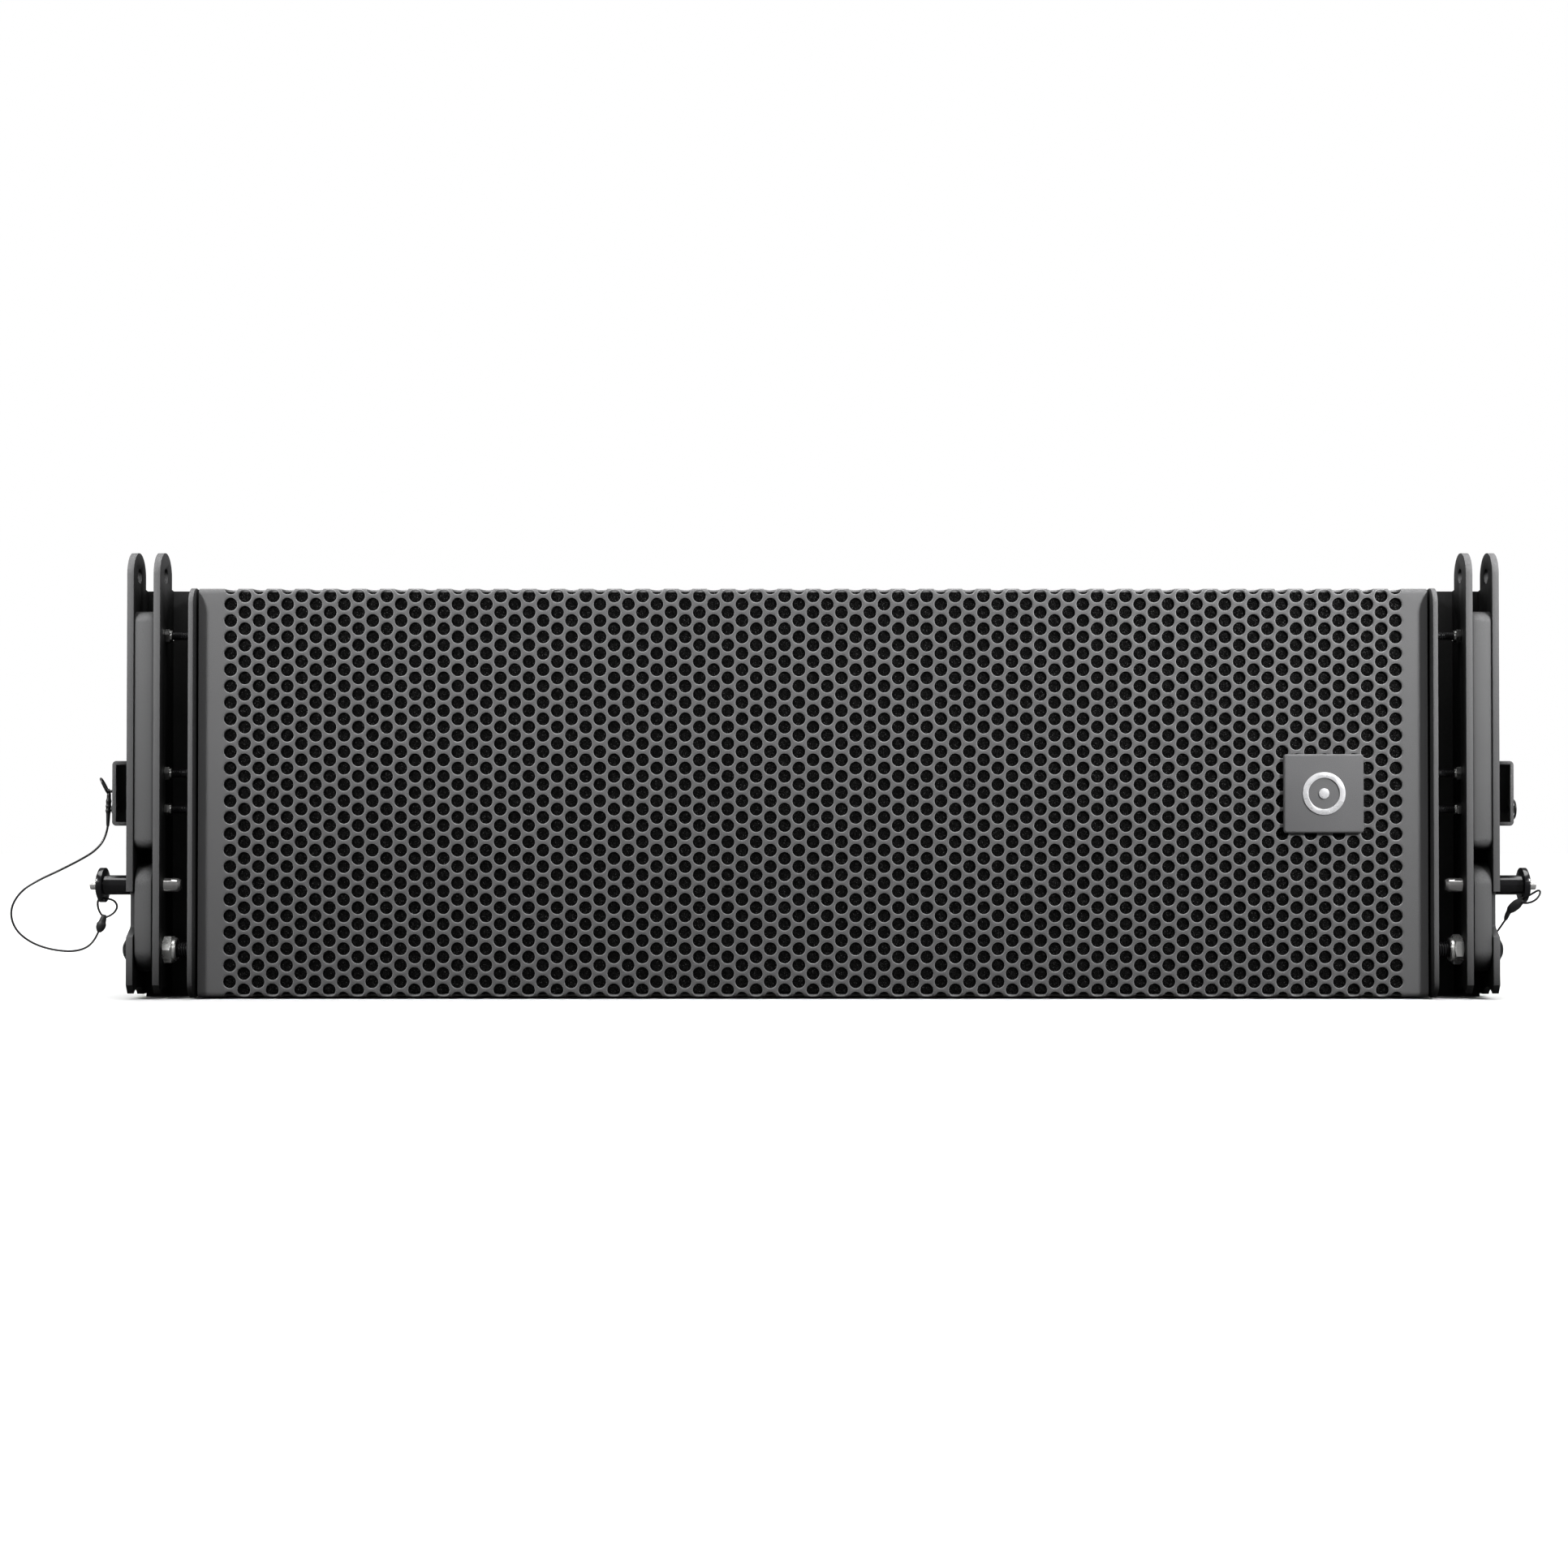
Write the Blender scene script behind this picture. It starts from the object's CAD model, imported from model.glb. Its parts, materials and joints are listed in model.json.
import json
import math

import bmesh
import bpy
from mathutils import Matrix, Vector


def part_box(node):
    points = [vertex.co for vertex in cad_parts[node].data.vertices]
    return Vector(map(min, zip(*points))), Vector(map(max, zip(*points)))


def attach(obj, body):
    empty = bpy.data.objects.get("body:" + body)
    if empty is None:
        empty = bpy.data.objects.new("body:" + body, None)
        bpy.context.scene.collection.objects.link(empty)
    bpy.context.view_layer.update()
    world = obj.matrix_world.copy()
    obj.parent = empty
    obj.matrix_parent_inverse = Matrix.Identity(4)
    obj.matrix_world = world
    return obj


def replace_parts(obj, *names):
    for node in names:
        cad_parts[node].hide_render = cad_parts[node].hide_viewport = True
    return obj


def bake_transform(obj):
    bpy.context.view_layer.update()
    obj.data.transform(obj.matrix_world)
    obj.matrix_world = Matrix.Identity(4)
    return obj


# Looks for the line array speaker. Metres, +Z up, the front faces -Y. Sizes come from the
# CAD nodes' boxes; the few that are written here are named in millimetres below.
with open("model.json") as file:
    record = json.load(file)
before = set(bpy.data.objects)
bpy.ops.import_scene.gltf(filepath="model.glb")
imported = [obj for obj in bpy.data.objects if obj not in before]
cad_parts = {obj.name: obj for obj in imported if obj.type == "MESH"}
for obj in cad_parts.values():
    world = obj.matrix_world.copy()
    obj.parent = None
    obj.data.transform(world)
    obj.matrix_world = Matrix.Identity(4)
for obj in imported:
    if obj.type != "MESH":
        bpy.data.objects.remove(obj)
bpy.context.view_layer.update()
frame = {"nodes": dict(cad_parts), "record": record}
NODES = frame["nodes"]
MM = 0.001
SIDES = (("left", -1), ("right", 1))
ROOT = "cabinet"
X_WAY, Y_WAY, Z_WAY = (1, 0, 0), (0, 1, 0), (0, 0, 1)

plate_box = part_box("front_outer_plate_right")
FRONT_Y = plate_box[0].y  # the front plane of the end plates and the rigging
OUTER_FACE = plate_box[1].x / MM
HANDLE_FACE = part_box("side_handle_right")[1].x / MM


def place(x, depth, z):
    """A point from millimetres: across, back from the front plane, up."""
    return Vector((x * MM, FRONT_Y + depth * MM, z * MM))


def add_object(name, data):
    """A new object in the scene."""
    obj = bpy.data.objects.new(name, data)
    bpy.context.scene.collection.objects.link(obj)
    return obj


# ------------------------------------------------------------------ camera
CAMERA_BACK = 1.5
CAMERA_HEIGHT = 0.1095
CAMERA_PITCH = math.radians(0.815)
LENS, SENSOR = 56.85, 36.0
SHIFT_X = -0.0185
CLIP_START = 0.01
camera = add_object("camera", bpy.data.cameras.new("camera"))
camera.location = (0, FRONT_Y - CAMERA_BACK, CAMERA_HEIGHT)
camera.rotation_euler = (math.pi / 2 + CAMERA_PITCH, 0, 0)
camera.data.lens = LENS
camera.data.sensor_width = SENSOR
camera.data.shift_x = SHIFT_X
camera.data.clip_start = CLIP_START
bpy.context.scene.camera = camera


# ------------------------------------------------------------------ material helpers
def node(tree, kind, **settings):
    """A shader node, with its inputs and settings given by name."""
    made = tree.nodes.new(kind)
    for name, value in settings.items():
        if name in made.inputs:
            made.inputs[name].default_value = value
        else:
            setattr(made, name, value)
    return made


def new_material(name, color, roughness, metallic=0.0, specular=0.5):
    """A Principled material and what is needed to add detail to it."""
    material = bpy.data.materials.new(name)
    material.use_nodes = True
    tree = material.node_tree
    shader = tree.nodes["Principled BSDF"]
    shader.inputs["Base Color"].default_value = (*color, 1)
    shader.inputs["Roughness"].default_value = roughness
    shader.inputs["Metallic"].default_value = metallic
    shader.inputs["Specular IOR Level"].default_value = specular
    coordinates = tree.nodes.new("ShaderNodeTexCoord")
    return material, tree, shader, coordinates


def noise_node(tree, coordinates, scale, detail=3.0, rough=0.6):
    made = node(tree, "ShaderNodeTexNoise", Scale=scale, Detail=detail, Roughness=rough)
    tree.links.new(coordinates.outputs["Object"], made.inputs["Vector"])
    return made


def ramp(tree, source, output, low, high, color_low, color_high):
    """A colour that goes from one to the other as the source goes from low to high."""
    made = tree.nodes.new("ShaderNodeValToRGB")
    made.color_ramp.elements[0].position = low
    made.color_ramp.elements[0].color = (*color_low, 1)
    made.color_ramp.elements[1].position = high
    made.color_ramp.elements[1].color = (*color_high, 1)
    tree.links.new(source.outputs[output], made.inputs["Fac"])
    return made


def mixed(tree, blend, share, first, second):
    """Two colour sockets blended into one."""
    made = tree.nodes.new("ShaderNodeMix")
    made.data_type = "RGBA"
    made.blend_type = blend
    made.inputs["Factor"].default_value = share
    tree.links.new(first, made.inputs["A"])
    tree.links.new(second, made.inputs["B"])
    return made.outputs["Result"]


def add_bump(tree, shader, source, distance):
    """A bump from the source's factor, its height in metres."""
    made = node(tree, "ShaderNodeBump", Strength=1.0, Distance=distance)
    tree.links.new(source.outputs["Fac"], made.inputs["Height"])
    tree.links.new(made.outputs["Normal"], shader.inputs["Normal"])


def grey(level):
    return (level, level, level)


def scaled(color, share):
    return tuple(c * share for c in color)


HOLLOW_REACH = 0.05
HOLLOW_BLACK, HOLLOW_CLEAR = 0.42, 0.93  # the open share where paint is black, and where untouched


def darken_hollows(material):
    """Dust-free black in slots and corners: the colour falls away where little light gets in."""
    tree = material.node_tree
    shader = tree.nodes["Principled BSDF"]
    hollow = node(tree, "ShaderNodeAmbientOcclusion", Distance=HOLLOW_REACH, samples=6)
    share = ramp(tree, hollow, "AO", HOLLOW_BLACK, HOLLOW_CLEAR, grey(0.01), grey(1))
    coat = shader.inputs["Base Color"].links[0].from_socket
    darkened = mixed(tree, "MULTIPLY", 1.0, coat, share.outputs["Color"])
    tree.links.new(darkened, shader.inputs["Base Color"])


RIM_SHINE = 1.6  # how much brighter the rounded rim of a hole is


def brighten_rims(material):
    """The coat pulls thin and shiny over the rounded rims, which the mesh marks as "rim"."""
    tree = material.node_tree
    shader = tree.nodes["Principled BSDF"]
    coat = shader.inputs["Base Color"].links[0].from_socket
    mark = node(tree, "ShaderNodeAttribute", attribute_name="rim")
    gain = node(tree, "ShaderNodeMath", operation="MULTIPLY_ADD")
    gain.inputs[1].default_value = RIM_SHINE
    gain.inputs[2].default_value = 1.0
    tree.links.new(mark.outputs["Fac"], gain.inputs[0])
    brighter = node(tree, "ShaderNodeVectorMath", operation="SCALE")
    tree.links.new(coat, brighter.inputs[0])
    tree.links.new(gain.outputs["Value"], brighter.inputs["Scale"])
    tree.links.new(brighter.outputs["Vector"], shader.inputs["Base Color"])


PATCH_SCALE, SMEAR_SCALE = 9.0, 120.0  # of a coat's slow unevenness, and of fingerprints


def paint(name, color, roughness, grain_scale=3000.0, grain=0.00008, speckle=0.42, cloud=0.06):
    """Powder coat: a fine grain in the surface, light and dark specks and a slow unevenness."""
    material, tree, shader, coordinates = new_material(name, color, roughness, 0.0, 0.35)
    fine = noise_node(tree, coordinates, grain_scale, 2.0, 0.7)
    broad = noise_node(tree, coordinates, PATCH_SCALE, 4.0, 0.55)
    dark, light = scaled(color, 1 - speckle), scaled(color, 1 + speckle)
    specks = ramp(tree, fine, "Fac", 0.38, 0.64, dark, light)
    clouds = ramp(tree, broad, "Fac", 0.3, 0.7, grey(1 - cloud), grey(1 + cloud))
    coat = mixed(tree, "MULTIPLY", 1.0, specks.outputs["Color"], clouds.outputs["Color"])
    tree.links.new(coat, shader.inputs["Base Color"])
    rough = ramp(tree, fine, "Fac", 0.3, 0.75, grey(roughness + 0.12), grey(roughness - 0.1))
    tree.links.new(rough.outputs["Color"], shader.inputs["Roughness"])
    add_bump(tree, shader, fine, grain)
    return material


def metal(name, color, roughness, brushed=0.00001, streaks=(900, 900, 900), metallic=1.0):
    """Bare or plated metal with faint tooling marks and fingerprints in its gloss."""
    material, tree, shader, coordinates = new_material(name, color, roughness, metallic)
    stretch = node(tree, "ShaderNodeMapping", Scale=streaks)
    tree.links.new(coordinates.outputs["Object"], stretch.inputs["Vector"])
    marks = node(tree, "ShaderNodeTexNoise", Scale=1.0, Detail=3.0)
    tree.links.new(stretch.outputs["Vector"], marks.inputs["Vector"])
    smears = noise_node(tree, coordinates, SMEAR_SCALE)
    rough = ramp(tree, smears, "Fac", 0.3, 0.7, grey(roughness * 0.7), grey(roughness * 1.5))
    tree.links.new(rough.outputs["Color"], shader.inputs["Roughness"])
    tint = ramp(tree, marks, "Fac", 0.3, 0.7, scaled(color, 0.86), color)
    tree.links.new(tint.outputs["Color"], shader.inputs["Base Color"])
    add_bump(tree, shader, marks, brushed)
    return material


def plastic(name, color, roughness, grain_scale=1500.0, grain=0.00002):
    """A moulded or coated surface with a fine grain in its tone and its gloss."""
    material, tree, shader, coordinates = new_material(name, color, roughness)
    fine = noise_node(tree, coordinates, grain_scale, 2.0)
    tone = ramp(tree, fine, "Fac", 0.3, 0.7, scaled(color, 0.85), scaled(color, 1.15))
    tree.links.new(tone.outputs["Color"], shader.inputs["Base Color"])
    rough = ramp(tree, fine, "Fac", 0.3, 0.7, grey(roughness * 0.85), grey(roughness * 1.15))
    tree.links.new(rough.outputs["Color"], shader.inputs["Roughness"])
    add_bump(tree, shader, fine, grain)
    return material


# ------------------------------------------------------------------ materials
FOAM = grey(0.003)
CELL_WALL, CELL_GLINT = grey(0.03), grey(0.28)


def foam_material():
    """Open-cell foam: black pores with the odd cell wall that catches the light."""
    material, tree, shader, coordinates = new_material("foam", FOAM, 0.95, 0.0, 0.05)
    cells = noise_node(tree, coordinates, 1500.0, 3.0, 0.7)
    grain = ramp(tree, cells, "Fac", 0.5, 0.72, scaled(FOAM, 0.5), CELL_WALL)
    glints = node(tree, "ShaderNodeTexVoronoi", Scale=700.0)
    tree.links.new(coordinates.outputs["Object"], glints.inputs["Vector"])
    glint = ramp(tree, glints, "Distance", 0.08, 0.2, CELL_GLINT, grey(0))
    both = mixed(tree, "ADD", 0.35, grain.outputs["Color"], glint.outputs["Color"])
    tree.links.new(both, shader.inputs["Base Color"])
    add_bump(tree, shader, cells, 0.0008)
    return material


BIRCH, BIRCH_DARK, BIRCH_LIGHT = (0.5, 0.36, 0.2), (0.42, 0.29, 0.15), (0.58, 0.43, 0.26)


def wood_material():
    """Birch plywood, seen only inside the cabinet."""
    material, tree, shader, coordinates = new_material("birch_plywood", BIRCH, 0.6)
    rings = node(tree, "ShaderNodeTexWave", Scale=60.0, Distortion=8.0, Detail=3.0)
    tree.links.new(coordinates.outputs["Object"], rings.inputs["Vector"])
    tone = ramp(tree, rings, "Fac", 0.0, 1.0, BIRCH_DARK, BIRCH_LIGHT)
    tree.links.new(tone.outputs["Color"], shader.inputs["Base Color"])
    add_bump(tree, shader, rings, 0.0001)
    return material


SHANK_END = (OUTER_FACE - 0.2) * MM  # the black collar starts just under the plate's outside
SHANK_STEEL, COLLAR_BLACK = (0.62, 0.61, 0.6), (0.006, 0.006, 0.007)
SHANK_METALLIC = 0.7


def pin_material():
    """Quick-release pin: a stainless shank inside the plates, gloss black collar and head."""
    material, tree, shader, coordinates = new_material("release_pin", COLLAR_BLACK, 0.14)
    split = tree.nodes.new("ShaderNodeSeparateXYZ")
    tree.links.new(coordinates.outputs["Object"], split.inputs["Vector"])
    outward = node(tree, "ShaderNodeMath", operation="ABSOLUTE")
    tree.links.new(split.outputs["X"], outward.inputs[0])
    black = node(tree, "ShaderNodeMath", operation="GREATER_THAN")
    black.inputs[1].default_value = SHANK_END
    tree.links.new(outward.outputs[0], black.inputs[0])
    tone = ramp(tree, black, "Value", 0.0, 1.0, SHANK_STEEL, COLLAR_BLACK)
    tree.links.new(tone.outputs["Color"], shader.inputs["Base Color"])
    bare = node(tree, "ShaderNodeMath", operation="MULTIPLY_ADD")
    bare.inputs[1].default_value = -SHANK_METALLIC
    bare.inputs[2].default_value = SHANK_METALLIC
    tree.links.new(black.outputs[0], bare.inputs[0])
    tree.links.new(bare.outputs[0], shader.inputs["Metallic"])
    marks = noise_node(tree, coordinates, 700.0)
    rough = ramp(tree, marks, "Fac", 0.3, 0.7, grey(0.14), grey(0.24))
    tree.links.new(rough.outputs["Color"], shader.inputs["Roughness"])
    add_bump(tree, shader, marks, 0.000008)
    return material


powder_coat = paint("powder_coat", (0.112, 0.112, 0.114), 0.62)
darken_hollows(powder_coat)
grille_paint = paint(
    "grille_powder_coat", (0.116, 0.116, 0.118), 0.6, grain=0.00007, speckle=0.36, cloud=0.05
)
brighten_rims(grille_paint)
texture_paint = paint(
    "cabinet_texture_paint", (0.03, 0.03, 0.031), 0.7, grain_scale=520.0, grain=0.0005, speckle=0.3
)
darken_hollows(texture_paint)
badge_paint = paint(
    "badge_satin",
    (0.122, 0.122, 0.125),
    0.34,
    grain_scale=2600.0,
    grain=0.00001,
    speckle=0.12,
    cloud=0.1,
)
black_steel = metal("black_oxide", (0.012, 0.012, 0.013), 0.28, metallic=0.2)
zinc = metal("zinc_plate", (0.93, 0.93, 0.91), 0.24, brushed=0.00002, metallic=0.82)
dull_zinc = metal("dull_zinc_plate", (0.45, 0.45, 0.44), 0.16, brushed=0.00002)
stainless = metal(
    "turned_stainless",
    (0.9, 0.89, 0.87),
    0.2,
    brushed=0.00002,
    streaks=(6000, 300, 300),
    metallic=0.7,
)
emblem_metal = metal("emblem_silver", (0.78, 0.78, 0.8), 0.26, metallic=0.35)
casting = metal("cast_aluminium", (0.5, 0.5, 0.51), 0.45, brushed=0.00008)
brass = metal("brass_contact", (0.8, 0.58, 0.26), 0.25)
ferrite = plastic("ferrite", (0.06, 0.06, 0.065), 0.55, 900.0, 0.00008)
moulded = plastic("moulded_black", (0.022, 0.022, 0.023), 0.5, 1800.0, 0.00003)
socket_black = plastic("socket_black", (0.014, 0.014, 0.015), 0.28, 1500.0, 0.00001)
rope_coat = plastic("rope_coat", (0.007, 0.007, 0.0075), 0.3, 2500.0, 0.00001)
shrink = plastic("shrink_sleeve", (0.009, 0.009, 0.0095), 0.48, 1200.0, 0.00006)
paper = plastic("doped_paper", (0.02, 0.02, 0.021), 0.6, 700.0, 0.0001)
cloth = plastic("treated_cloth", (0.015, 0.015, 0.016), 0.7, 2000.0, 0.0001)
laminate = plastic("circuit_laminate", (0.02, 0.12, 0.05), 0.4)
varnish = plastic("varnished_parts", (0.35, 0.13, 0.04), 0.3, 400.0, 0.0001)
fibre = plastic("polyester_fibre", (0.7, 0.7, 0.67), 0.9, 260.0, 0.002)
foam = foam_material()
plywood = wood_material()
release_pin = pin_material()

SLOT_MATERIALS = {
    "cabinet_paint": texture_paint,
    "plywood": plywood,
    "powder_coat": powder_coat,
    "link_paint": powder_coat,
    "grille_paint": grille_paint,
    "grille_foam": foam,
    "badge_metal": badge_paint,
    "emblem_metal": emblem_metal,
    "basket_paint": black_steel,
    "ferrite": ferrite,
    "cone_paper": paper,
    "suspension_cloth": cloth,
    "black_screw": black_steel,
    "zinc": zinc,
    "moulded_plastic": moulded,
    "driver_casting": casting,
    "circuit_board": laminate,
    "crossover_parts": varnish,
    "wadding": fibre,
    "socket_plastic": socket_black,
    "pin_metal": release_pin,
    "button_steel": stainless,
    "lanyard_coat": rope_coat,
    "ferrule_sleeve": shrink,
}
node_slots = {s["node"]: s["material_slot"] for s in frame["record"]["subparts"]}
for node_name, obj in NODES.items():
    obj.data.materials.clear()
    obj.data.materials.append(SLOT_MATERIALS[node_slots[node_name]])


# ------------------------------------------------------------------ mesh helpers
def mesh_object(name, vertices, faces, material, body=ROOT, smooth_angle=35):
    """A piece from points and faces that rides on a body."""
    mesh = bpy.data.meshes.new(name)
    mesh.from_pydata([tuple(v) for v in vertices], [], faces)
    mesh.validate()
    return finish_piece(name, mesh, material, body, smooth_angle)


def finish_piece(name, mesh, material, body, smooth_angle=35):
    """Shade a mesh and put it in the scene; a piece without a body is blended by its caller."""
    obj = add_object(name, mesh)
    mesh.materials.clear()
    mesh.materials.append(material)
    mesh.shade_smooth()
    mesh.set_sharp_from_angle(angle=math.radians(smooth_angle))
    if body is not None:
        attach(obj, body)
    return obj


WELD = 1e-6  # metres between points that are one
FLAT_ANGLE = math.radians(0.5)  # faces that turn less than this are one face
EDGE_ANGLE = math.radians(32)  # edges that turn more than this are rounded


def softened(node_name, width, body=ROOT, segments=2):
    """A copy of a CAD node with its edges rounded over, which stands for the node."""
    source = NODES[node_name]
    bm = bmesh.new()
    bm.from_mesh(source.data)
    bmesh.ops.remove_doubles(bm, verts=bm.verts, dist=WELD)
    bmesh.ops.dissolve_limit(bm, angle_limit=FLAT_ANGLE, verts=bm.verts, edges=bm.edges)
    bmesh.ops.bevel(
        bm,
        geom=[e for e in bm.edges if e.is_manifold and e.calc_face_angle(0) > EDGE_ANGLE],
        offset=width,
        offset_type="OFFSET",
        segments=segments,
        profile=0.5,
        affect="EDGES",
        clamp_overlap=True,
    )
    name = node_name + "_soft"
    mesh = bpy.data.meshes.new(name)
    bm.to_mesh(mesh)
    bm.free()
    piece = finish_piece(name, mesh, source.data.materials[0], body)
    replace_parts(piece, node_name)


def tube(points, radius, name, material, body, sides=12, closed=False, broad=None, flat=1.0):
    """A tube along points. The radius may change along it; broad is the wide way of a flat one."""
    points = [Vector(p) for p in points]
    count = len(points)
    radii = radius if isinstance(radius, list) else [radius] * count
    vertices, faces = [], []
    normal = Vector(broad) if broad else None
    for i, p in enumerate(points):
        after = points[(i + 1) % count] if closed or i < count - 1 else p
        before = points[i - 1] if closed or i > 0 else p
        along = (after - before).normalized()
        if normal is None:
            normal = along.orthogonal().normalized()
        normal = (normal - along * normal.dot(along)).normalized()
        side = along.cross(normal) * flat
        for k in range(sides):
            turn = 2 * math.pi * k / sides
            vertices.append(p + (normal * math.cos(turn) + side * math.sin(turn)) * radii[i])
    for i in range(count if closed else count - 1):
        a, b = i * sides, (i + 1) % count * sides
        for k in range(sides):
            faces.append((a + k, a + (k + 1) % sides, b + (k + 1) % sides, b + k))
    if not closed:
        faces.append(tuple(reversed(range(sides))))
        faces.append(tuple(range((count - 1) * sides, count * sides)))
    return mesh_object(name, vertices, faces, material, body, smooth_angle=50)


def smooth_line(name, points, closed=False, resolution=12):
    """The points along a NURBS curve with these control points."""
    curve = bpy.data.curves.new(name, "CURVE")
    curve.dimensions = "3D"
    curve.resolution_u = resolution
    spline = curve.splines.new("NURBS")
    spline.points.add(len(points) - 1)
    for target, p in zip(spline.points, points):
        target.co = (*p, 1)
    spline.order_u = 3
    spline.use_endpoint_u = not closed
    spline.use_cyclic_u = closed
    holder = bpy.data.objects.new(name, curve)
    mesh = bpy.data.meshes.new_from_object(holder)
    line = [v.co.copy() for v in mesh.vertices]
    bpy.data.meshes.remove(mesh)
    bpy.data.objects.remove(holder)
    bpy.data.curves.remove(curve)
    return line


# ------------------------------------------------------------------ lanyards
# The same routes as the CAD tubes: across, back from the front plane, up, in millimetres.
ROPE_DIAMETER = 0.0013
LANYARDS = {
    "left": [
        (-431.4, 15.0, 105.5),
        (-432.2, 14.0, 98.2),
        (-438.2, 12.0, 90.0),
        (-448.0, 10.0, 84.0),
        (-459.5, 8.5, 78.0),
        (-471.5, 7.5, 72.4),
        (-482.3, 7.0, 65.6),
        (-488.6, 7.0, 54.6),
        (-486.0, 7.5, 42.6),
        (-475.5, 8.5, 33.8),
        (-461.5, 10.0, 29.4),
        (-448.0, 12.0, 28.8),
        (-439.0, 13.4, 34.0),
        (-436.3, 14.0, 41.5),
    ],
    "right": [
        (429.2, 36.5, 115.5),
        (429.4, 44.5, 114.8),
        (429.2, 57.0, 110.6),
        (427.8, 68.0, 102.0),
        (425.4, 76.0, 90.0),
        (422.8, 79.0, 76.0),
        (420.8, 77.0, 61.5),
        (419.8, 69.5, 48.5),
        (419.6, 57.5, 38.6),
        (419.9, 43.0, 34.6),
        (420.3, 29.5, 37.6),
        (421.6, 20.0, 43.2),
        (423.4, 15.0, 48.2),
    ],
}
# The wire's eyes, closed loops through the disc of each pin and around each anchor.
PIN_EYES = {
    "left": [
        (-433.2, 14.0, 49.4),
        (-435.8, 14.0, 52.4),
        (-437.2, 14.0, 56.4),
        (-437.0, 14.0, 60.4),
        (-434.4, 14.0, 61.4),
        (-430.6, 14.0, 61.0),
        (-426.6, 14.0, 59.6),
        (-424.9, 14.0, 56.2),
        (-426.6, 14.0, 52.6),
        (-430.2, 14.0, 50.2),
    ],
    "right": [
        (432.0, 9.2, 60.0),
        (433.4, 9.0, 62.0),
        (435.8, 8.8, 62.9),
        (438.6, 8.4, 64.6),
        (441.0, 7.8, 66.2),
        (442.4, 7.0, 66.0),
        (442.0, 6.2, 63.8),
        (439.4, 5.2, 60.6),
        (435.4, 5.6, 58.6),
        (431.8, 8.0, 58.4),
    ],
}
ANCHOR_EYES = {
    "left": [
        (-430.8, 15.0, 124.6),
        (-431.6, 13.2, 126.2),
        (-433.4, 12.5, 130.0),
        (-435.3, 13.4, 133.6),
        (-435.9, 15.0, 134.6),
        (-435.3, 16.6, 133.6),
        (-433.4, 17.5, 130.0),
        (-431.6, 16.8, 126.2),
    ],
    "right": [
        (427.9, 21.5, 115.5),
        (427.9, 19.4, 119.2),
        (427.9, 15.0, 121.7),
        (427.9, 9.6, 120.0),
        (427.9, 7.6, 115.5),
        (427.9, 9.6, 111.0),
        (427.9, 15.0, 109.3),
        (427.9, 19.4, 111.8),
    ],
}
# The pressed sleeves that close the eyes: their middle lines, and their radii from end to end.
PIN_CRIMPS = {
    "left": [
        (-432.9, 14.0, 51.2),
        (-434.0, 14.0, 47.6),
        (-435.2, 14.0, 43.8),
        (-436.4, 14.0, 40.6),
    ],
    "right": [
        (433.0, 9.0, 61.4),
        (429.6, 10.2, 58.2),
        (426.2, 11.6, 55.0),
        (424.0, 13.4, 51.8),
        (423.4, 15.0, 48.1),
    ],
}
ANCHOR_CRIMPS = {
    "left": [
        (-430.7, 15.0, 126.0),
        (-430.9, 15.0, 120.0),
        (-431.2, 15.0, 112.0),
        (-431.4, 15.0, 105.4),
    ],
    "right": [
        (428.2, 19.8, 115.5),
        (428.4, 26.0, 115.5),
        (428.9, 31.0, 115.5),
        (429.2, 36.6, 115.5),
    ],
}
PIN_CRIMP_RADII = {
    "left": [1.3, 1.9, 2.1, 2.3, 2.9, 3.0, 2.9, 2.4, 1.2],
    "right": [1.3, 2.4, 3.1, 3.2, 3.1, 2.9, 2.6, 1.7, 1.6, 1.5, 1.1],
}
ANCHOR_CRIMP_RADII = [1.2, 1.6, 1.6, 2.2, 1.8, 2.2, 1.8, 2.2, 1.6, 1.5, 1.4, 1.3, 1.1]
PIN_CRIMP_FLAT, ANCHOR_CRIMP_FLAT = 0.6, 0.78  # thickness over width
ANCHOR_CRIMP_BROAD = {"left": Y_WAY, "right": Z_WAY}


def crimp(line, profile, name, body, broad, flat):
    """A pressed sleeve along a line of control points, its radii in millimetres end to end."""
    points = smooth_line(name, [place(*p) for p in line], resolution=10)
    radii = []
    for i in range(len(points)):
        along = i / (len(points) - 1) * (len(profile) - 1)
        k = min(int(along), len(profile) - 2)
        radii.append((profile[k] + (profile[k + 1] - profile[k]) * (along - k)) * MM)
    return tube(points, radii, name, shrink, body, 20, broad=broad, flat=flat)


def wire_end(name, node_name, body, loop, line, radii, broad, flat):
    """An eye in the wire and the pressed sleeve that closes it, which stand for a CAD node."""
    points = smooth_line(name + "_line", [place(*p) for p in loop], closed=True)
    eye = tube(points, ROPE_DIAMETER / 2, name, rope_coat, body, closed=True)
    sleeve = crimp(line, radii, name + "_sleeve", body, broad, flat)
    for piece in (eye, sleeve):
        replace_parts(piece, node_name)
    return [eye, sleeve]


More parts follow.
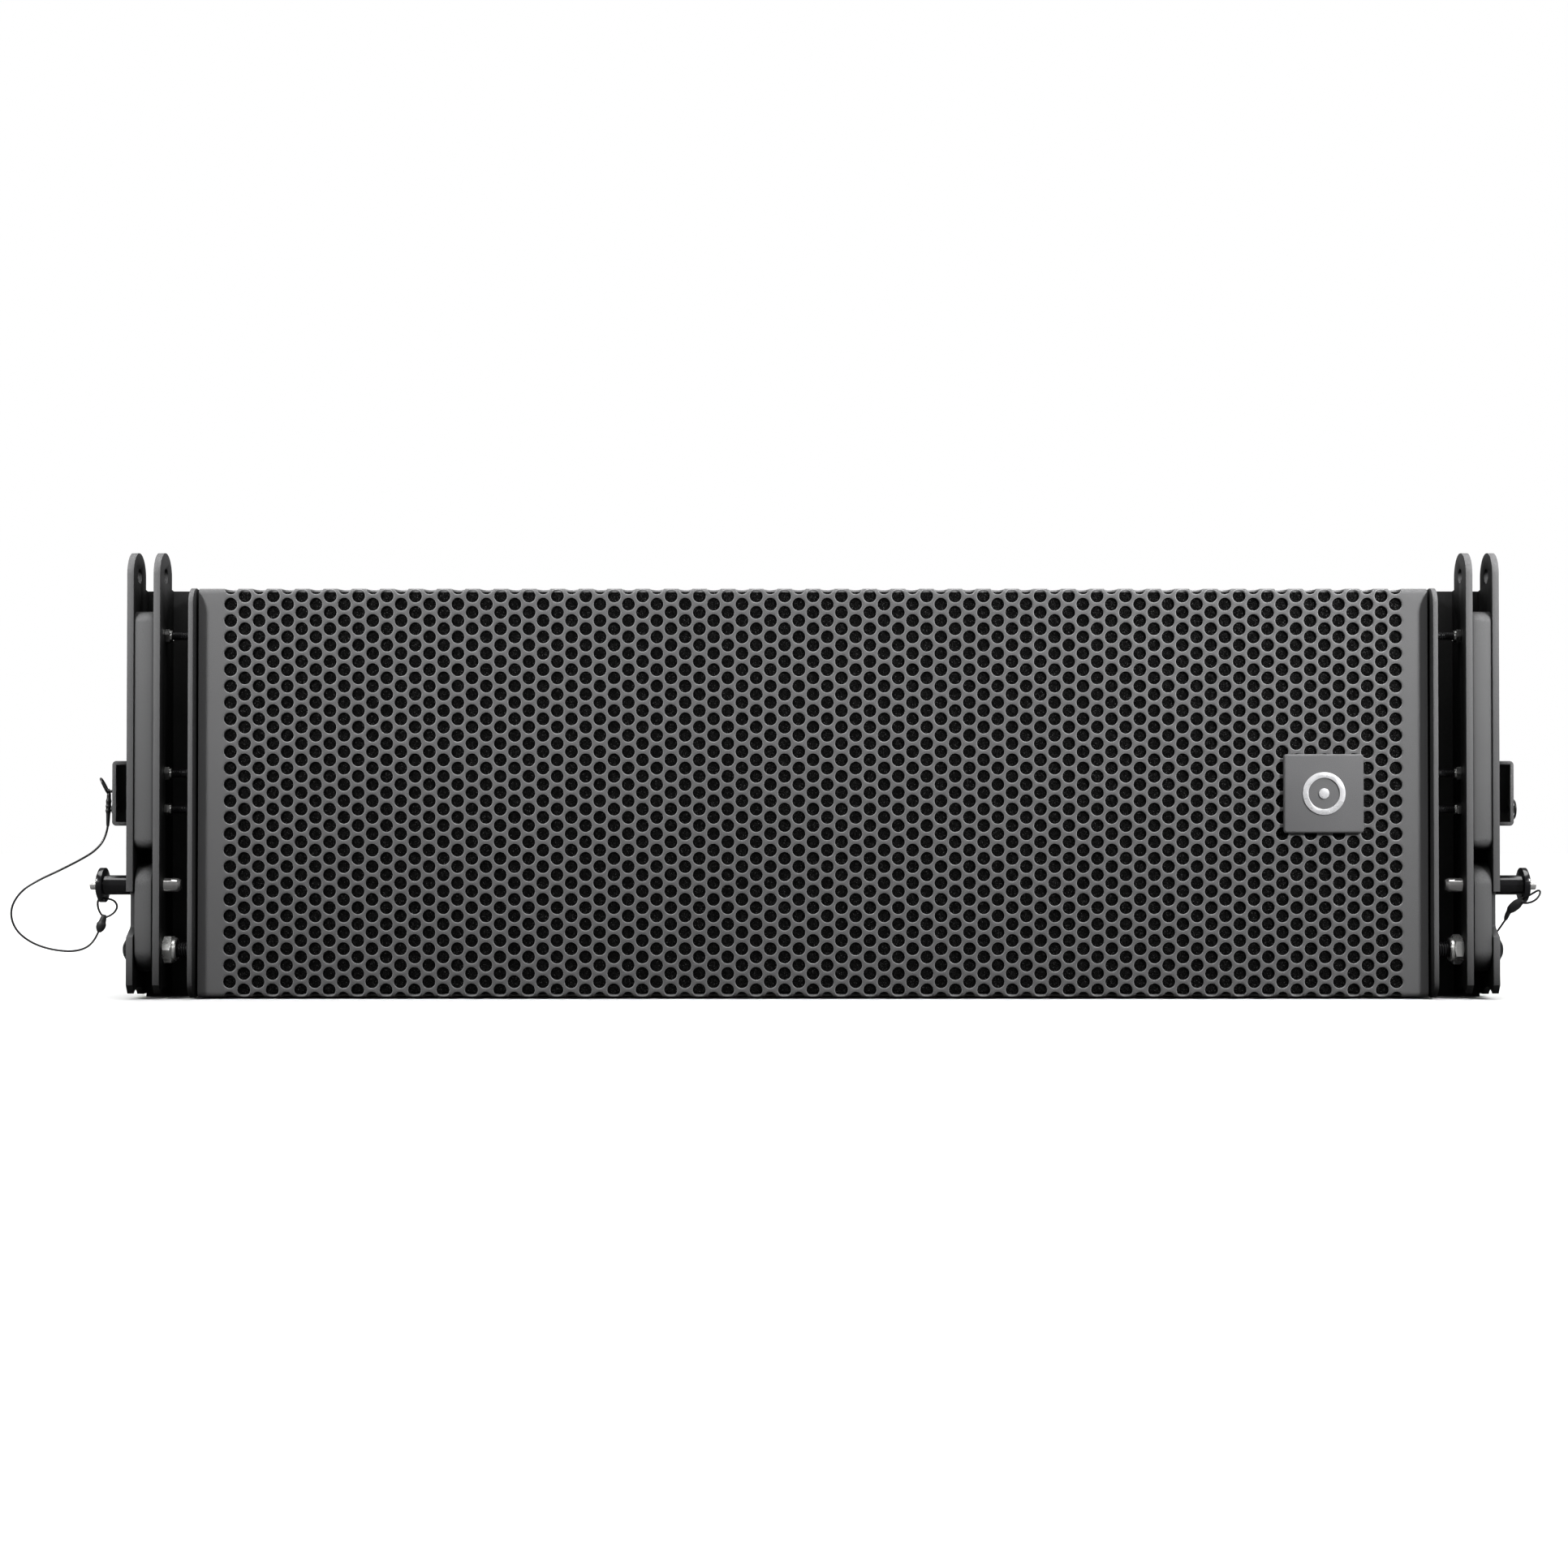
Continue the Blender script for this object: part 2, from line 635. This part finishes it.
def build_lanyard(side_name):
    """The rope with its two ends; the rope bends between the cabinet and the pin."""
    pin_body = "front_pin_" + side_name
    pin_end = wire_end(
        "lanyard_eye_" + side_name,
        "lanyard_pin_end_" + side_name,
        pin_body,
        PIN_EYES[side_name],
        PIN_CRIMPS[side_name],
        PIN_CRIMP_RADII[side_name],
        X_WAY,
        PIN_CRIMP_FLAT,
    )
    wire_end(
        "lanyard_anchor_" + side_name,
        "lanyard_anchors",
        ROOT,
        ANCHOR_EYES[side_name],
        ANCHOR_CRIMPS[side_name],
        ANCHOR_CRIMP_RADII,
        ANCHOR_CRIMP_BROAD[side_name],
        ANCHOR_CRIMP_FLAT,
    )
    route = [place(*p) for p in LANYARDS[side_name]]
    line = smooth_line("lanyard_route_" + side_name, route)
    rope = tube(line, ROPE_DIAMETER / 2, "lanyard_rope_" + side_name, rope_coat, None)
    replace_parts(rope, "lanyard_" + side_name)
    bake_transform(rope)


for side_name, _ in SIDES:
    build_lanyard(side_name)


# ------------------------------------------------------------------ grille
HOLE_R, HOLE_PITCH = 4.0, 10.0
COLUMN_STEP = HOLE_PITCH * math.sqrt(3) / 2
CELL_CORNER = HOLE_PITCH / math.sqrt(3)
COLUMNS = 41  # either side of the middle one
HOLE_MID_Z = 125.6
LAST_ROW = 131.0  # from the middle, along the bent sheet
HOLE_SIDES = 18
EDGE_SOFT = 0.42  # the rounding of a hole's rim
RIM_RING = 0.3  # where the rounding has its middle ring, as a share of it
SHEET = 1.5
BEND_R = 3.0
BEND_STEPS = 6
LIP_SLOPE = math.radians(4.4)

grille_low, grille_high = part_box("grille")
GRILLE_LOW, GRILLE_HIGH = grille_low.z / MM, grille_high.z / MM
GRILLE_MID = (GRILLE_LOW + GRILLE_HIGH) / 2
GRILLE_HALF = grille_high.x / MM
SET_BACK = (grille_low.y - FRONT_Y) / MM
FLAT_HALF = (GRILLE_HIGH - GRILLE_LOW) / 2 - BEND_R
BEND_MID_R = BEND_R - SHEET / 2
BEND_TURN = math.pi / 2 + LIP_SLOPE
LIP_START = FLAT_HALF + BEND_MID_R * BEND_TURN
SHEET_HALF = LIP_START + (grille_high.y - grille_low.y) / MM - BEND_R


def hexagon(u0, v0):
    """A cell's outline, with as many points as a hole's circle has."""
    corners = []
    for k in range(6):
        turn = math.radians(60 * k)
        corners.append((u0 + CELL_CORNER * math.cos(turn), v0 + CELL_CORNER * math.sin(turn)))
    per_side = HOLE_SIDES // 6
    points = []
    for (ua, va), (ub, vb) in zip(corners, corners[1:] + corners[:1]):
        for k in range(per_side):
            t = k / per_side
            points.append((ua + (ub - ua) * t, va + (vb - va) * t))
    return points


def circle(u0, v0, radius):
    points = []
    for k in range(HOLE_SIDES):
        turn = 2 * math.pi * k / HOLE_SIDES
        points.append((u0 + radius * math.cos(turn), v0 + radius * math.sin(turn)))
    return points


class FlatSheet:
    """The grille before it is bent: across, along the sheet and into it, in millimetres."""

    def __init__(self):
        self.bm = bmesh.new()
        self.rim = self.bm.verts.layers.float.new("rim")
        self.spots = {}

    def ring(self, outline, into, rim_share=0.0):
        """The points of an outline at one depth, which cells side by side share."""
        points = []
        for u, v in outline:
            spot = (round(u, 3), round(v, 3), round(into, 3))
            if spot not in self.spots:
                self.spots[spot] = self.bm.verts.new((u, v, into))
                self.spots[spot][self.rim] = rim_share
            points.append(self.spots[spot])
        return points

    def add_plain_cell(self, u0, v0):
        outline = hexagon(u0, v0)
        self.bm.faces.new(self.ring(outline, 0))
        self.bm.faces.new(self.ring(reversed(outline), SHEET))

    def add_holed_cell(self, u0, v0):
        """Rings of quads from the cell's outline, over the rim and through the hole to its back."""
        outline = hexagon(u0, v0)
        rise = EDGE_SOFT * RIM_RING
        rings = [
            self.ring(outline, 0),
            self.ring(circle(u0, v0, HOLE_R + EDGE_SOFT), 0),
            self.ring(circle(u0, v0, HOLE_R + rise), rise, 1.0),
            self.ring(circle(u0, v0, HOLE_R), EDGE_SOFT, 0.6),
            self.ring(circle(u0, v0, HOLE_R), SHEET),
            self.ring(outline, SHEET),
        ]
        for a, b in zip(rings, rings[1:]):
            for k in range(HOLE_SIDES):
                m = (k + 1) % HOLE_SIDES
                self.bm.faces.new([a[k], a[m], b[m], b[k]])

    def cut(self, direction, distance, clear):
        """Cut across on both sides of the middle, and take away what is beyond if asked."""
        for sign in (-1, 1):
            normal = Vector(direction) * sign
            bmesh.ops.bisect_plane(
                self.bm,
                geom=self.bm.verts[:] + self.bm.edges[:] + self.bm.faces[:],
                plane_co=normal * distance,
                plane_no=normal,
                clear_outer=clear,
            )

    def close_edges(self):
        """Faces between the front and the back of the sheet along the cuts."""
        near = {tuple(round(c, 2) for c in v.co): v for v in self.bm.verts}
        for e in [e for e in self.bm.edges if e.is_boundary]:
            a, b = e.verts
            if max(a.co.z, b.co.z) < 1e-4:
                a_back = near.get((round(a.co.x, 2), round(a.co.y, 2), SHEET))
                b_back = near.get((round(b.co.x, 2), round(b.co.y, 2), SHEET))
                if a_back and b_back:
                    self.bm.faces.new([a, b, b_back, a_back])


def bent(across, along, into):
    """Where a point of the flat sheet lies once the top and the base are bent back."""
    sign = 1 if along >= 0 else -1
    run = abs(along)
    if run <= FLAT_HALF:
        depth, rise = into, run
    else:
        turn = min((run - FLAT_HALF) / BEND_MID_R, BEND_TURN)
        rest = max(0.0, run - LIP_START)
        reach = BEND_R - into
        depth = BEND_R - reach * math.cos(turn) + rest * math.sin(turn)
        rise = FLAT_HALF + reach * math.sin(turn) + rest * math.cos(turn)
    return place(across, SET_BACK + depth, GRILLE_MID + sign * rise)


def build_grille():
    """A hexagonal field of cells, holed up to its margins, trimmed and bent to shape."""
    sheet = FlatSheet()
    rows = math.ceil(SHEET_HALF / HOLE_PITCH) + 1
    columns = math.ceil(GRILLE_HALF / COLUMN_STEP) + 1
    for i in range(-columns, columns + 1):
        stagger = 0.5 if i % 2 else 0.0
        for j in range(-rows, rows + 1):
            u0 = i * COLUMN_STEP
            v0 = HOLE_MID_Z - GRILLE_MID + HOLE_PITCH * (j + stagger)
            if abs(i) <= COLUMNS and abs(v0) < LAST_ROW:
                sheet.add_holed_cell(u0, v0)
            else:
                sheet.add_plain_cell(u0, v0)
    sheet.cut(X_WAY, GRILLE_HALF, clear=True)
    sheet.cut(Y_WAY, SHEET_HALF, clear=True)
    sheet.close_edges()
    for i in range(BEND_STEPS + 1):  # so that no face spans the bend
        sheet.cut(Y_WAY, FLAT_HALF + BEND_MID_R * BEND_TURN * i / BEND_STEPS, clear=False)
    for v in sheet.bm.verts:
        v.co = bent(*v.co)
    bmesh.ops.recalc_face_normals(sheet.bm, faces=sheet.bm.faces)
    mesh = bpy.data.meshes.new("perforated_grille")
    sheet.bm.to_mesh(mesh)
    sheet.bm.free()
    piece = finish_piece("perforated_grille", mesh, grille_paint, ROOT, 50)
    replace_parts(piece, "grille")


build_grille()

FOAM_HALF = 371.0
FOAM_TUCK = ((9.7, 3.7), (17.4, 3.7), (17.4, 2.4), (11.2, 1.9), (9.7, 2.6))  # back, in from outside


def foam_tuck(name, edge, inward):
    """The foam's edge, squeezed into the grille's bend."""
    vertices = []
    for x in (-FOAM_HALF, FOAM_HALF):
        vertices += [place(x, depth, edge + inward * gap) for depth, gap in FOAM_TUCK]
    count = len(FOAM_TUCK)
    faces = [tuple(range(count)), tuple(range(count, 2 * count))]
    for i in range(count):
        m = (i + 1) % count
        faces.append((i, m, m + count, i + count))
    mesh_object(name, vertices, faces, foam, ROOT)


foam_tuck("foam_tuck_top", GRILLE_HIGH, -1)
foam_tuck("foam_tuck_base", GRILLE_LOW, 1)


# ------------------------------------------------------------------ turned and hex pieces
def lathe(centre, direction, rings, sides=48):
    """Vertices and faces of rings of (radius, height) about an axis, each a number or a function
    of the angle, in millimetres."""
    axis = Vector(direction).normalized()
    across = Vector(Z_WAY)
    third = axis.cross(across)
    vertices, faces = [], []
    for radius, height in rings:
        for k in range(sides):
            turn = 2 * math.pi * k / sides
            r = radius(turn) if callable(radius) else radius
            h = height(turn) if callable(height) else height
            outward = across * math.cos(turn) + third * math.sin(turn)
            vertices.append(Vector(centre) + (axis * h + outward * r) * MM)
    for i in range(len(rings) - 1):
        a, b = i * sides, (i + 1) * sides
        for k in range(sides):
            m = (k + 1) % sides
            faces.append((a + k, a + m, b + m, b + k))
    return vertices, faces


def hex_radius(flats, turn_offset=0.0):
    """The radius of a hexagon as a function of the angle."""

    def radius(turn):
        part = math.radians(60)
        inner = (turn + turn_offset) % part - part / 2
        return flats / 2 / math.cos(inner)

    return radius


def joined(parts, name, material, body, smooth_angle=30):
    """Several (vertices, faces) as one piece."""
    vertices, faces = [], []
    for points, polygons in parts:
        start = len(vertices)
        vertices += points
        faces += [tuple(i + start for i in polygon) for polygon in polygons]
    return mesh_object(name, vertices, faces, material, body, smooth_angle)


HEX_SIDES = 72  # a multiple of six, so that a hexagon's corners come out sharp
HEX_TALL = 0.72  # of the nut's height
CHAMFER_R, CHAMFER_SLOPE = 0.97, 0.6
NUT_COLLAR = ((0.455, 0.72), (0.45, 0.9), (0.42, 0.98), (0.37, 1))  # of the flats, of the height
NUT_RING = ((1.12, 1), (1.08, 0.92), (1, 0.9))  # of the bore, of the height


def nyloc_nut(centre, direction, flats, tall, bore, turn_offset=0.0):
    """A hex nut with chamfered corners and the round collar that holds its locking ring."""
    shape = hex_radius(flats, turn_offset)
    hex_tall = tall * HEX_TALL
    chamfer_r = flats / 2 * CHAMFER_R

    def base(turn):
        return max(0.0, shape(turn) - chamfer_r) * CHAMFER_SLOPE

    def top(turn):
        return hex_tall - base(turn)

    rings = [
        (bore, 0),
        (chamfer_r, 0),
        (shape, base),
        (shape, top),
        (chamfer_r, hex_tall),
        *[(flats * r, tall * h) for r, h in NUT_COLLAR],
        *[(bore * r, tall * h) for r, h in NUT_RING],
        (bore, 0),
    ]
    return lathe(centre, direction, rings, HEX_SIDES)


AXIS_R = 0.01  # the radius of a ring that closes a shape at its axis
DOME_RINGS = 10
DOME_RISE = 0.88  # of the head's height, above its straight edge
CROWN_IN, CROWN_OUT = 0.6, 0.62  # the flat around the recess, of the recess's flats
RECESS_MID, RECESS_FLOOR, RECESS_TOP = 0.35, 0.38, 0.97  # of the crown's height


def button_head(centre, direction, radius, tall, flats):
    """A domed screw head with a hex recess."""
    recess = hex_radius(flats)
    rise = tall * DOME_RISE
    ball = (radius**2 + rise**2) / (2 * rise)
    crown = flats * CROWN_OUT
    dome = []
    for k in range(DOME_RINGS):
        r = crown + (radius - crown) * k / (DOME_RINGS - 1)
        dome.append((r, tall - ball + math.sqrt(ball**2 - r**2)))
    top = dome[0][1]
    rings = [
        (AXIS_R, top * RECESS_MID),
        (recess, top * RECESS_FLOOR),
        (recess, top * RECESS_TOP),
        (flats * CROWN_IN, top),
        *dome,
        (radius, 0),
        (AXIS_R, 0),
    ]
    return lathe(centre, direction, rings, HEX_SIDES)


THREAD_DEPTH = 0.5  # of the pitch
THREAD_STEPS = 8  # rings to one turn of the thread


def threaded(centre, direction, radius, pitch, length, sides=32):
    """A rod with a helical thread and an eased end."""
    deep = pitch * THREAD_DEPTH
    steps = int(length / pitch * THREAD_STEPS)

    def thread_ring(height):
        ease = max(0.0, 1 - (length - height) / pitch) * deep

        def thread_radius(turn):
            phase = (height / pitch - turn / (2 * math.pi)) % 1
            return radius - ease - deep * abs(2 * phase - 1)

        return thread_radius, height

    rings = [thread_ring(length * i / steps) for i in range(steps + 1)]
    vertices, faces = lathe(centre, direction, rings, sides)
    faces.append(tuple(range(steps * sides, (steps + 1) * sides)))
    faces.append(tuple(reversed(range(sides))))
    return vertices, faces


# ------------------------------------------------------------------ bolts, screws and nuts
NUT_FACE = 396.0  # the inboard face of the inner plates, where the nuts sit
PIVOTS = ((14.0, 30.0), (405.0, 90.0))  # the link bolts: back from the front, up
PIVOT_HEAD = {"radius": 8.75, "tall": 5.5, "flats": 6.0}
PIVOT_THREAD = {"radius": 5.0, "pitch": 1.5, "length": 16.0}
PIVOT_NUT = {"flats": 16.0, "tall": 8.0, "bore": 5.0}
PIVOT_NUT_TURN = {"left": math.radians(30), "right": math.radians(55)}

SCREW_DEPTH = 14.0
SCREW_HEAD = {"radius": 4.75, "tall": 2.75, "flats": 3.0}
HANDLE_SCREW_HEAD = {"radius": 4.2, "tall": 1.9, "flats": 3.0}
SCREW_THREAD = {"radius": 2.5, "pitch": 0.8, "length": 15.0}
SCREW_NUT = {"flats": 8.0, "tall": 4.5, "bore": 2.5}
SCREW_NUT_TURN = 0.4  # radians to a millimetre of height, so that no two stand alike
PLATE_SCREWS = (
    (221.5, OUTER_FACE, SCREW_HEAD),
    (137.5, OUTER_FACE, SCREW_HEAD),
    (115.5, HANDLE_FACE, HANDLE_SCREW_HEAD),
)

BRACKET_SCREWS_AT = [(depth, z) for depth in (56.0, 326.0) for z in (60.0, 190.0)]
BRACKET_SCREW_HEAD = {"radius": 7.0, "tall": 4.4, "flats": 5.0}
BRACKET_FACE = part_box("bracket_screws")[1].x / MM - BRACKET_SCREW_HEAD["tall"]

bolts, nuts, screws, small_nuts, bracket_heads = [], [], [], [], []
for side_name, side in SIDES:
    outward, inward = (side, 0, 0), (-side, 0, 0)
    for depth, z in PIVOTS:
        inside = place(side * NUT_FACE, depth, z)
        bolts.append(button_head(place(side * OUTER_FACE, depth, z), outward, **PIVOT_HEAD))
        bolts.append(threaded(inside, inward, **PIVOT_THREAD))
        turned = PIVOT_NUT_TURN[side_name]
        nuts.append(nyloc_nut(inside, inward, **PIVOT_NUT, turn_offset=turned))
    for z, face, head in PLATE_SCREWS:
        inside = place(side * NUT_FACE, SCREW_DEPTH, z)
        screws.append(button_head(place(side * face, SCREW_DEPTH, z), outward, **head))
        screws.append(threaded(inside, inward, **SCREW_THREAD))
        turned = SCREW_NUT_TURN * z
        small_nuts.append(nyloc_nut(inside, inward, **SCREW_NUT, turn_offset=turned))
    for depth, z in BRACKET_SCREWS_AT:
        centre = place(side * BRACKET_FACE, depth, z)
        bracket_heads.append(button_head(centre, outward, **BRACKET_SCREW_HEAD))

for parts, name, material, slot, node_name in (
    (bolts, "pivot_bolts", black_steel, "black_screw", "link_bolts"),
    (nuts, "pivot_nuts", zinc, "zinc", "link_nuts"),
    (screws, "plate_screws", black_steel, "zinc", "rigging_screws"),
    (small_nuts, "plate_screw_nuts", dull_zinc, "zinc", "rigging_nuts"),
    (bracket_heads, "bracket_heads", black_steel, "black_screw", "bracket_screws"),
):
    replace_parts(joined(parts, name, material, ROOT), node_name)


# ------------------------------------------------------------------ softened edges
PAIR_EDGES = {
    "front_outer_plate": 0.0005,
    "front_bracket": 0.0005,
    "rear_bracket": 0.0005,
    "front_link": 0.0009,
    "end_plate": 0.0006,
    "side_handle": 0.0004,
}
MOVING_PAIR_EDGES = {"rear_link": 0.0009, "front_pin": 0.0003, "rear_pin": 0.0003}
SINGLE_EDGES = {
    "rigging_spacers": 0.0008,
    "cabinet_top_panel": 0.0008,
    "cabinet_bottom_panel": 0.0008,
    "cabinet_side_panels": 0.0008,
    "cabinet_rear_panel": 0.0008,
    "connector_dish": 0.0008,
    "speaker_sockets": 0.0004,
    "dish_screws": 0.0003,
    "badge_emblem": 0.00018,
}
for side_name, _ in SIDES:
    for pair, width in PAIR_EDGES.items():
        softened(f"{pair}_{side_name}", width)
    for pair, width in MOVING_PAIR_EDGES.items():
        softened(f"{pair}_{side_name}", width, f"{pair}_{side_name}")
for node_name, width in SINGLE_EDGES.items():
    softened(node_name, width)
softened("badge_plate", 0.0009, segments=3)


# ------------------------------------------------------------------ lanyard rivet and sockets
RIVET_DEPTH, RIVET_Z = 15.0, 126.6
RIVET_R, RIVET_HEAD_R, RIVET_CROWN_R = 0.9, 1.6, 1.1
RIVET_RINGS = [
    (AXIS_R, 0),
    (RIVET_R, 0),
    (RIVET_R, 3.4),
    (RIVET_HEAD_R, 3.6),
    (RIVET_HEAD_R, 4.1),
    (RIVET_CROWN_R, 4.6),
    (AXIS_R, 4.7),
]


def lanyard_rivet():
    """The rivet that holds the left lanyard's eye to the side handle."""
    rivet = lathe(place(-HANDLE_FACE, RIVET_DEPTH, RIVET_Z), (-1, 0, 0), RIVET_RINGS, 32)
    piece = joined([rivet], "lanyard_rivet", black_steel, ROOT)
    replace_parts(piece, "lanyard_anchors")


SOCKET_X, SOCKET_Z = 23.0, 125.6
SOCKET_FLOOR = (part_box("speaker_sockets")[0].y - FRONT_Y) / MM + 2.5
POST_R, POST_BORE_R, POST_TALL = 6.2, 4.6, 16.5
POST_EASE_R, POST_EASE = 0.4, 0.6
CONTACT_WIDE, CONTACT_THICK, CONTACT_LONG = 2.4, 0.5, 14.0
BOX_FACES = [(0, 1, 3, 2), (4, 6, 7, 5), (0, 4, 5, 1), (2, 3, 7, 6), (0, 2, 6, 4), (1, 5, 7, 3)]


def socket_contact(centre, turn):
    """A flat brass strip along the post, at an angle round it."""
    outward = Vector((math.cos(turn), 0, math.sin(turn)))
    sideways = Vector((-math.sin(turn), 0, math.cos(turn)))
    corners = []
    for reach in (POST_R, POST_R + CONTACT_THICK):
        for across in (-CONTACT_WIDE / 2, CONTACT_WIDE / 2):
            for deep in (0.0, CONTACT_LONG):
                spot = outward * reach + sideways * across + Vector(Y_WAY) * deep
                corners.append(centre + spot * MM)
    return corners, BOX_FACES


def socket_insides():
    """The middle post of each speaker socket, with its four brass contacts."""
    rings = [
        (POST_R, 0),
        (POST_R, POST_TALL - POST_EASE),
        (POST_R - POST_EASE_R, POST_TALL),
        (POST_BORE_R + POST_EASE_R, POST_TALL),
        (POST_BORE_R, POST_TALL - POST_EASE),
        (POST_BORE_R, 0),
    ]
    posts, contacts = [], []
    for _, side in SIDES:
        centre = place(side * SOCKET_X, SOCKET_FLOOR, SOCKET_Z)
        posts.append(lathe(centre, Y_WAY, rings, 40))
        contacts += [socket_contact(centre, math.radians(45 + 90 * k)) for k in range(4)]
    joined(posts, "socket_posts", socket_black, ROOT)
    joined(contacts, "socket_contacts", brass, ROOT)


lanyard_rivet()
socket_insides()


# ------------------------------------------------------------------ floor and surround
FLOOR_HALF = 6.0
# Both are bright to the camera and send little light onto the object, so hollows stay dark.
FLOOR_WHITE, FLOOR_BOUNCE = 0.86, 0.1
SURROUND, SURROUND_LIGHT, SURROUND_GLOSS = 1.0, 0.08, 0.22


def build_floor():
    corners = [(-1, -1), (1, -1), (1, 1), (-1, 1)]
    mesh = bpy.data.meshes.new("floor")
    mesh.from_pydata([(x * FLOOR_HALF, y * FLOOR_HALF, 0) for x, y in corners], [], [(0, 1, 2, 3)])
    material, tree, shader, _ = new_material("floor_white", grey(FLOOR_WHITE), 1.0, 0.0, 0.0)
    rays = tree.nodes.new("ShaderNodeLightPath")
    level = node(tree, "ShaderNodeMix", A=FLOOR_BOUNCE, B=FLOOR_WHITE)
    tree.links.new(rays.outputs["Is Camera Ray"], level.inputs["Factor"])
    tree.links.new(level.outputs["Result"], shader.inputs["Base Color"])
    mesh.materials.append(material)
    add_object("floor", mesh)


def build_surround():
    world = bpy.data.worlds.new("studio")
    bpy.context.scene.world = world
    world.use_nodes = True
    tree = world.node_tree
    background = tree.nodes["Background"]
    background.inputs["Color"].default_value = (*grey(1), 1)
    rays = tree.nodes.new("ShaderNodeLightPath")
    unseen = node(tree, "ShaderNodeMix", A=SURROUND_LIGHT, B=SURROUND_GLOSS)
    tree.links.new(rays.outputs["Is Glossy Ray"], unseen.inputs["Factor"])
    level = node(tree, "ShaderNodeMix", B=SURROUND)
    tree.links.new(unseen.outputs["Result"], level.inputs["A"])
    tree.links.new(rays.outputs["Is Camera Ray"], level.inputs["Factor"])
    tree.links.new(level.outputs["Result"], background.inputs["Strength"])


build_floor()
build_surround()


# ------------------------------------------------------------------ lights
def softbox(name, location, target, width, height, power, spread=180):
    """A rectangular light that points at its target."""
    light = bpy.data.lights.new(name, "AREA")
    light.shape = "RECTANGLE"
    light.size, light.size_y = width, height
    light.energy = power
    light.spread = math.radians(spread)
    obj = add_object(name, light)
    obj.location = location
    direction = Vector(target) - Vector(location)
    obj.rotation_euler = direction.to_track_quat("-Z", "Y").to_euler()
    return obj


# Two high keys, each on its own half, so that the slots of the rigging stay in shadow.
KEY_AT, KEY_AIM, KEY_SIZE, KEY_SPREAD = (1.9, -1.9, 1.45), (0.6, -0.2, 0.62), 0.4, 30
KEY_POWER = {"left": 5.0, "right": 7.3}
# Two thin strips, too small to light the paint, that draw bright lines along the pins and nuts.
STRIP_AT, STRIP_AIM = (1.1, -1.9, 1.0), (0.42, -0.2, 0.1)
STRIP_LONG, STRIP_TALL, STRIP_POWER = 0.9, 0.05, 1.6
BEHIND_AT, BEHIND_AIM = (0.0, 2.2, 1.6), (0.0, 0.2, 0.1)
BEHIND_WIDE, BEHIND_TALL, BEHIND_POWER = 2.0, 1.0, 30
OVERHEAD_POWER, OVERHEAD_ANGLE = 3.6, math.radians(50)


def mirrored(point, side):
    return (side * point[0], *point[1:])


for side_name, side in SIDES:
    at, aim = mirrored(KEY_AT, side), mirrored(KEY_AIM, side)
    softbox("key_" + side_name, at, aim, KEY_SIZE, KEY_SIZE, KEY_POWER[side_name], KEY_SPREAD)
    at, aim = mirrored(STRIP_AT, side), mirrored(STRIP_AIM, side)
    softbox("strip_" + side_name, at, aim, STRIP_LONG, STRIP_TALL, STRIP_POWER)
behind = softbox("behind", BEHIND_AT, BEHIND_AIM, BEHIND_WIDE, BEHIND_TALL, BEHIND_POWER)
behind.visible_glossy = False
overhead = add_object("overhead", bpy.data.lights.new("overhead", "SUN"))
overhead.data.energy = OVERHEAD_POWER
overhead.data.angle = OVERHEAD_ANGLE

bpy.context.scene.view_settings.view_transform = "Standard"
